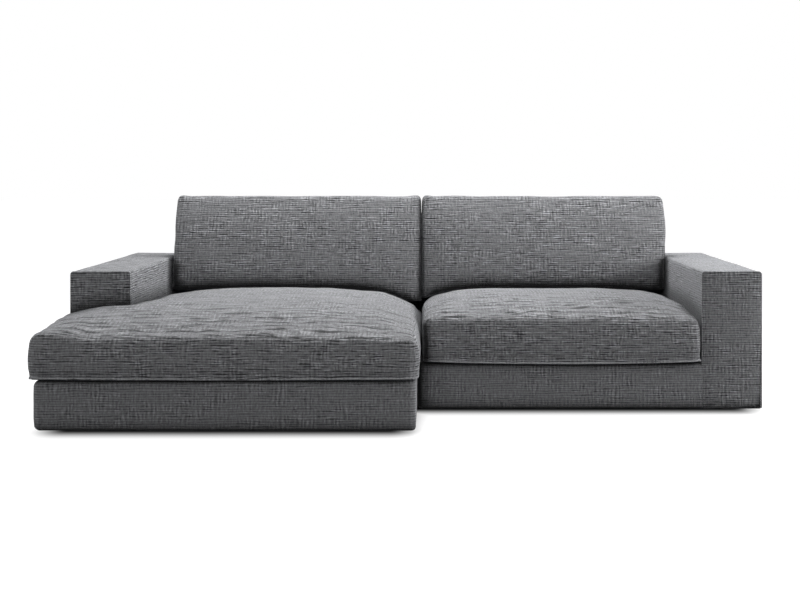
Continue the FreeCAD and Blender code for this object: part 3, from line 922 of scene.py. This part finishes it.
seat_back_moves = [
    ((0.045, 0.56, 0.885), (0.030, 0.12, 0.03), (-0.004, 0, 0.006)),
    ((0.033, 0.53, 0.65), (0.03, 0.2, 0.5), (-0.005, 0, 0)),
    ((1.215, 0.56, 0.90), (0.05, 0.3, 0.10), (0.012, 0, 0)),
    ((1.215, 0.53, 0.74), (0.05, 0.3, 0.12), (0.016, 0, 0)),
    ((0.62, 0.56, 0.885), (0.80, 0.12, 0.03), (0, 0, 0.006)),
]
back_pad("chaise_back_cushion_soft", "chaise_back_cushion_cover", "chaise_back_cushion",
         "chaise_back_cushion_core", 3, chaise_back_moves, 0.031, (-1.181, 0.0319),
         [(0, 0.034), (0.05, 0.034), (0.10, 0.027), (0.15, 0.020), (0.20, 0.014), (0.30, 0.006), (0.45, 0)])
back_pad("seat_back_cushion_soft", "seat_back_cushion_cover", "seat_back_cushion",
         "seat_back_cushion_core", 4, seat_back_moves, 0.033, (0.0321, 1.236), [(0, 0)])


# Arms

def arm_cover(name, node, body, outer, seed, slack):
    """Low box arm: soft outer top edge, sharper inner one, and a front panel set in with a sewn edge.

    outer is 1 where the outer face looks along x, and -1 where it looks the other way.
    """
    low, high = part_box(node)
    piece = block(name, low, high)
    inner_x, outer_x = (low.x, high.x) if outer > 0 else (high.x, low.x)
    top = high.z
    round_edges(piece, ARM_CORNER, 8, lambda c, d: runs(d, Y) and at(c.x, outer_x) and at(c.z, top))
    round_edges(piece, ARM_INNER, 3, lambda c, d: runs(d, Y) and at(c.x, inner_x) and at(c.z, top))
    round_edges(piece, 0.006, 3, lambda c, d: at(c.y, low.y) or (runs(d, Z) and at(c.y, high.y)))
    round_edges(piece, 0.014, 5, lambda c, d: at(c.z, low.z) and abs(c.x - inner_x) > 0.004)
    rear_cuts = [high.y - d for d in (0.045, 0.032, 0.022, 0.014, 0.008, 0.004, 0.001)]
    slice_at(piece, Y, places_between(low.y + 0.01, high.y - 0.05, WALL_PITCH) + rear_cuts)
    slice_at(piece, X, places_between(low.x + 0.046, high.x - 0.046, WALL_PITCH))
    slice_at(piece, Z, places_between(low.z, high.z - 0.046, WALL_PITCH))
    co = points_of(piece)
    past = grow(co[:, 1] - high.y + REAR_ROUND, REAR_ROUND)
    co[:, 2] -= REAR_ROUND * quarter_round(past) * grow(co[:, 2] - top + 0.16, 0.16)
    set_points(piece, co)
    padding(piece, 0.0015, 0.22, seed)

    # Turn the cloth flat under the arm's frame.
    co = points_of(piece)
    co[:, 2] = np.where(co[:, 2] < low.z + 0.002, low.z - 0.0006, co[:, 2])
    set_points(piece, co)

    # The sewn edge runs up the inner side of the front panel, over it and down the outer side.
    r, q = ARM_CORNER, ARM_INNER
    line = [(inner_x, z) for z in np.linspace(low.z + 0.004, top - 0.012, 40)]
    line += [(inner_x + outer * (q - q * math.cos(a)), top - q + q * math.sin(a))
             for a in np.linspace(0.2, 1.4, 4)]
    line += [(x, top) for x in np.linspace(inner_x + outer * 0.012, outer_x - outer * (r + 0.002), 14)]
    line += [(outer_x - outer * (r - r * math.sin(a)), top - r + r * math.cos(a))
             for a in np.linspace(0, math.pi / 2, 9)]
    line += [(outer_x, z) for z in np.linspace(top - r - 0.01, low.z + 0.004, 36)]
    sew_on(piece, welt(name + "_welt", [(x, low.y + 0.0022, z) for x, z in line], ARM_WELT))
    finish_cover(piece, body, [node], slack)


arm_cover("chaise_arm_upholstery", "chaise_arm_cover", "chaise_module", -1, 11, 1.2)
arm_cover("seat_arm_upholstery", "seat_arm_cover", "seat_module", 1, 12, 0.35)


# Base covers

def roll_over(piece, low, high, top_drop, top_depth, foot_drop, foot_depth):
    """Turn a wall's upper and lower edges in, as padding does behind a panel."""
    co, no = points_of(piece), normals_of(piece)
    no[:, 2] = 0
    no /= np.maximum(np.linalg.norm(no, axis=1), 1e-9)[:, None]
    upper = grow(co[:, 2] - (high - top_drop), top_drop)
    lower = grow((low + foot_drop) - co[:, 2], foot_drop)
    inset = top_depth * quarter_round(upper) + foot_depth * quarter_round(lower)
    set_points(piece, co - no * inset[:, None])


def base_wall(name, body, nodes, low, high, open_side, wing, seed):
    """Padded cloth wall round a module's base, open below and towards the arm.

    open_side is -1 where the arm stands at the low end of x, and 1 at the high end. wing is the x of the
    wing's end and the y of its rear, or None.
    """
    piece = block(name, low, high)
    if wing:
        wing_x, wing_y = wing
        slice_at(piece, Y, [wing_y])
        mode("EDIT")
        pick(piece, "FACE", lambda c, n: n.x < -0.9 and c.y < wing_y)
        bpy.ops.mesh.extrude_region_move(TRANSFORM_OT_translate={"value": (wing_x - low[0], 0, 0)})
        mode("OBJECT")
    first_x = wing_x if wing else low[0]
    arm_x, inner_x = (low[0], high[0]) if open_side < 0 else (high[0], low[0])
    corner_places = [inner_x, wing_x] if wing else [inner_x]

    def outside_corner(c, d):
        behind_wing = wing and at(c.x, wing_x) and c.y > wing_y - 0.01
        return runs(d, Z) and any(at(c.x, x) for x in corner_places) and not behind_wing

    def opened(c, n):
        behind_wing = wing and n.y > 0.9 and at(c.y, wing_y)
        return runs(n, Z) or (runs(n, X) and at(c.x, arm_x)) or behind_wing

    round_edges(piece, 0.022, 6, outside_corner)
    mode("EDIT")
    pick(piece, "FACE", opened)
    bpy.ops.mesh.delete(type="FACE")
    mode("OBJECT")
    slice_at(piece, X, places_between(first_x + 0.022, high[0] - 0.022, WALL_PITCH))
    slice_at(piece, Y, places_between(low[1] + 0.022, high[1] - 0.022, WALL_PITCH))
    levels = [high[2] - d for d in (0.0004, 0.0015, 0.0035, 0.007, 0.012, 0.018, 0.024)]
    levels += [low[2] + d for d in (0.0004, 0.0015, 0.004, 0.008, 0.014)]
    slice_at(piece, Z, levels + places_between(low[2] + 0.014, high[2] - 0.024, WALL_PITCH))
    roll_over(piece, low[2], high[2], 0.030, 0.0135, 0.014, 0.010)
    if wing:
        # The wing's end swells at mid height and turns in towards its edges.
        co = points_of(piece)
        ends = grow(np.abs(co[:, 2] - (low[2] + high[2]) / 2), (high[2] - low[2]) / 2)
        co[:, 0] += (0.014 * ends ** 10 - 0.004) * fade(co[:, 0] - wing_x, 0.04)
        set_points(piece, co)
    modify(piece, "SOLIDIFY", thickness=0.0138, offset=-1)
    padding(piece, 0.0015, 0.2, seed)
    keep_in(piece, (first_x - 0.006, low[1] - 0.001, low[2]), (high[0] + 0.00005, high[1] + 0.001, high[2]))
    finish_cover(piece, body, nodes, 0.12)


chaise_low, chaise_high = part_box("chaise_front_border")
chaise_back_low, chaise_back_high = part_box("chaise_back_border")
base_wall("chaise_base_upholstery", "chaise_module",
          ["chaise_front_border", "chaise_inner_border", "chaise_back_border", "chaise_wing_border"],
          (chaise_back_low.x, chaise_low.y, chaise_low.z), (chaise_high.x, chaise_back_high.y, chaise_high.z),
          -1, (chaise_low.x, ARM_FRONT), 5)
seat_low, seat_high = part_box("seat_front_border")
seat_back_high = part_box("seat_back_border")[1]
base_wall("seat_base_upholstery", "seat_module",
          ["seat_front_border", "seat_inner_border", "seat_back_border"],
          (seat_low.x, seat_low.y, seat_low.z), (seat_high.x, seat_back_high.y, seat_high.z), 1, None, 6)


# Platforms and dust cloths

def edge_gap(co, low, high):
    """How far each point lies from the nearest side, seen from above."""
    x, y, _ = co.T
    return np.minimum(np.minimum(x - low.x, high.x - x), np.minimum(y - low.y, high.y - y))


def platform_pad(name, node, body):
    """Cloth-faced platform that the belts carry: drawn down between them, tacked along its edges."""
    low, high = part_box(node)
    piece = block(name, low, high)
    slice_at(piece, X, places_between(low.x, high.x, SHEET_PITCH))
    slice_at(piece, Y, places_between(low.y, high.y, SHEET_PITCH))
    co = points_of(piece)
    waves = 0.0012 * (1 - np.cos(co[:, 0] * 2 * np.pi / 0.12)) / 2
    tacked = 0.0016 * np.exp(-(edge_gap(co, low, high) / 0.012) ** 2)
    co[:, 2] -= np.where(co[:, 2] > high.z - 0.001, waves + tacked, 0)
    set_points(piece, co)
    round_edges(piece, 0.002, 2, lambda c, d: c.z > high.z - 0.003 and abs(d.z) < 0.3 and (
        at(c.x, low.x) or at(c.x, high.x) or at(c.y, low.y) or at(c.y, high.y)))
    dress(piece, platform)
    smooth_faces(piece)
    put_down()
    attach(piece, body)
    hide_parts(node)


def lay_dust_cloth(name, node, body):
    """Black lining stapled under the frame: taut at the staples, a little slack between them."""
    low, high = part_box(node)
    put_down()
    bpy.ops.mesh.primitive_grid_add(x_subdivisions=48, y_subdivisions=48, size=1,
                                    location=((low.x + high.x) / 2, (low.y + high.y) / 2, high.z))
    piece = sized(name, (high.x - low.x, high.y - low.y, 1))
    co = points_of(piece)
    slack = np.array([noise.noise(Vector((x * 7, y * 7, 3.3))) for x, y, _ in co])
    co[:, 2] = high.z - 0.0006 - (0.0022 + 0.0016 * slack) * grow(edge_gap(co, low, high), 0.15)
    set_points(piece, co)
    modify(piece, "SOLIDIFY", thickness=0.0006, offset=0)
    dress(piece, lining)
    smooth_faces(piece)
    put_down()
    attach(piece, body)
    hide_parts(node)


platform_pad("chaise_platform", "chaise_deck", "chaise_module")
platform_pad("chaise_wing_platform", "chaise_wing_deck", "chaise_module")
platform_pad("seat_platform", "seat_deck", "seat_module")
lay_dust_cloth("chaise_lining", "chaise_dust_cloth", "chaise_module")
lay_dust_cloth("chaise_wing_lining", "chaise_wing_dust_cloth", "chaise_module")
lay_dust_cloth("seat_lining", "seat_dust_cloth", "seat_module")


# Backrests

def back_cover(name, node, body, seed):
    """Padded backrest with soft upper edges."""
    low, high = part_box(node)
    piece = block(name, low, high)
    round_edges(piece, 0.020, 5, lambda c, d: runs(d, X) and at(c.z, high.z) and at(c.y, low.y))
    round_edges(piece, REAR_ROUND, 8, lambda c, d: runs(d, X) and at(c.z, high.z) and at(c.y, high.y))
    round_edges(piece, 0.004, 2, lambda c, d: abs(d.x) < 0.1 and (at(c.x, low.x) or at(c.x, high.x)))
    slice_at(piece, X, places_between(low.x, high.x, SHEET_PITCH))
    slice_at(piece, Z, places_between(low.z, high.z, SHEET_PITCH))
    padding(piece, 0.0015, 0.22, seed)
    finish_cover(piece, body, [node], 0.3)


back_cover("chaise_backrest_upholstery", "chaise_back_cover", "chaise_module", 21)
back_cover("seat_backrest_upholstery", "seat_back_cover", "seat_module", 22)


# Studio

def seen(net):
    """1 for what the camera sees, straight or by way of gloss or glass, and 0 for all other light."""
    path = add(net, "ShaderNodeLightPath").outputs
    either = maths(net, "MAXIMUM", path["Is Camera Ray"], path["Is Glossy Ray"])
    return maths(net, "MAXIMUM", either, path["Is Transmission Ray"])


def distance_out(net, place, low, high):
    """How far outside a span a value lies, or 0 inside it."""
    from_middle = maths(net, "ABSOLUTE", maths(net, "SUBTRACT", place, (low + high) / 2))
    return maths(net, "MAXIMUM", maths(net, "SUBTRACT", from_middle, (high - low) / 2), 0.0)


def studio_floor():
    """Pale-looking floor: its grey keeps the real contact shadow, and a glow seen only by the camera, weaker
    near the sofa as a painted shadow, runs out to plain white.
    """
    put_down()
    bpy.ops.mesh.primitive_plane_add(size=60, location=(0, 0, 0))
    floor = bpy.context.object
    floor.name = "studio_floor"
    material, net, shader = new_material("pale_floor")
    fill(shader, {"Base Color": (0.22, 0.22, 0.22, 1), "Roughness": 0.9, "Specular IOR Level": 0.1})
    split = add(net, "ShaderNodeSeparateXYZ")
    net.links.new(object_place(net), split.inputs["Vector"])

    # Painted shadow: the glow is dimmed near two footprints, the chaise's and that of the sofa's whole width,
    # and the dimming fades out within 0.175 m.
    footprints = ((chaise_low.x, chaise_high.x, chaise_low.y, chaise_back_high.y),
                  (-seat_high.x - ARM_WIDE, seat_high.x + ARM_WIDE, seat_low.y, seat_back_high.y))
    inside = 0.105        # the distance is counted from this far inside a footprint
    gaps = []
    for low_x, high_x, low_y, high_y in footprints:
        out_x = distance_out(net, split.outputs["X"], low_x + inside, high_x - inside)
        out_y = distance_out(net, split.outputs["Y"], low_y + inside, high_y - inside)
        squares = [maths(net, "MULTIPLY", out, out) for out in (out_x, out_y)]
        gaps.append(maths(net, "SQRT", maths(net, "ADD", *squares)))
    far = spread(net, maths(net, "MINIMUM", *gaps), 0.008, 0.175, 0.0, 0.97)
    glow = add(net, "ShaderNodeEmission")
    fill(glow, {"Color": (1, 1, 1, 1)})
    net.links.new(maths(net, "MULTIPLY", seen(net), far), glow.inputs["Strength"])
    both = add(net, "ShaderNodeAddShader")
    net.links.new(shader.outputs["BSDF"], both.inputs[0])
    net.links.new(glow.outputs["Emission"], both.inputs[1])
    net.links.new(both.outputs["Shader"], net.nodes["Material Output"].inputs["Surface"])
    floor.data.materials.append(material)


def studio_world():
    """White to the camera, and only a faint even light on the sofa."""
    world = bpy.data.worlds.new("studio")
    world.use_nodes = True
    bpy.context.scene.world = world
    net = world.node_tree
    ground = net.nodes["Background"]
    fill(ground, {"Color": (1, 1, 1, 1)})
    net.links.new(maths(net, "MAXIMUM", seen(net), 0.06), ground.inputs["Strength"])


def softbox(name, place, target, width, height, power):
    """Soft lamp at a place, turned towards a target."""
    light = bpy.data.lights.new(name, "AREA")
    set_all(light, shape="RECTANGLE", size=width, size_y=height, energy=power)
    lamp = new_object(name, light)
    lamp.location = place
    lamp.rotation_euler = (Vector(target) - Vector(place)).to_track_quat("-Z", "Y").to_euler()


studio_floor()
studio_world()

# Each lamp has its place, its target, its width and height, and its power in watts.
softbox("ceiling_softbox", (0, 0.72, 2.75), (0, 0.2, 0.3), 4.4, 1.6, 140)
softbox("left_softbox", (-3.5, -1.0, 1.3), (0, -0.2, 0.4), 1.4, 1.2, 18)
softbox("right_softbox", (3.6, -0.62, 1.2), (0, -0.5, 0.3), 1.4, 1.0, 90)
softbox("front_softbox", (0.1, -4.2, 2.2), (0, -0.3, 0.3), 3.0, 1.2, 52)

# The camera stands where the photograph's vanishing point and the modules' two front planes put it.
camera_data = bpy.data.cameras.new("camera")
camera = new_object("camera", camera_data)
camera.location = (0.090, -5.3438, 1.042)
camera.rotation_euler = (math.pi / 2, 0, 0)
set_all(camera_data, lens=53.63, sensor_width=36, shift_x=-0.0416, shift_y=-0.1685, clip_end=100)
bpy.context.scene.camera = camera
bpy.context.scene.view_settings.view_transform = "Standard"

put_down()
